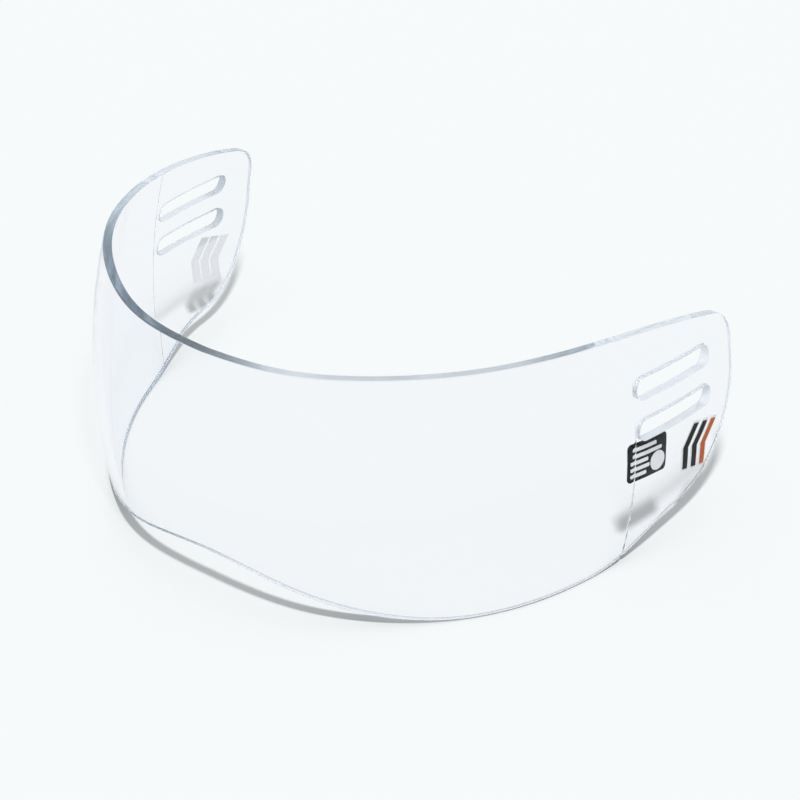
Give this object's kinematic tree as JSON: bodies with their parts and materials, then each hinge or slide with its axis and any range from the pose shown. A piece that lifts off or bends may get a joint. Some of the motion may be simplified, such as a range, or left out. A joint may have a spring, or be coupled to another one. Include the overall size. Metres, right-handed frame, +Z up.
{
  "type": "hockey visor",
  "caption": "Clear half visor for an ice hockey helmet: a barrel-curved one-piece shield with slotted ears, a plain label and plain chevron decals.",
  "frame": {"origin": "middle of the visor in plan, on the surface that it stands on", "axes": "+X towards the ear with the label (the wearer's left when worn facing -Y), +Y from the brow to the ear ends, +Z up"},
  "size_m": [0.2232, 0.1568, 0.0938],
  "materials": {
    "clear_polycarbonate": "polished clear polycarbonate with a faint blue tint",
    "black_film": "satin black printed film",
    "white_film": "satin white printed film",
    "orange_film": "satin orange printed film"
  },
  "bodies": {
    "root": {"visor_shield": "clear_polycarbonate", "label_film": "black_film", "label_bar_1": "white_film", "label_bar_2": "white_film", "label_bar_3": "white_film", "label_bar_4": "white_film", "label_bar_5": "white_film", "label_disc": "white_film", "right_decal_border_1": "white_film", "right_decal_chevron_1": "black_film", "right_decal_border_2": "white_film", "right_decal_chevron_2": "black_film", "right_decal_border_3": "white_film", "right_decal_chevron_3": "orange_film", "left_decal_border_1": "white_film", "left_decal_chevron_1": "black_film", "left_decal_border_2": "white_film", "left_decal_chevron_2": "black_film", "left_decal_border_3": "white_film", "left_decal_chevron_3": "orange_film"}
  },
  "joints": []
}
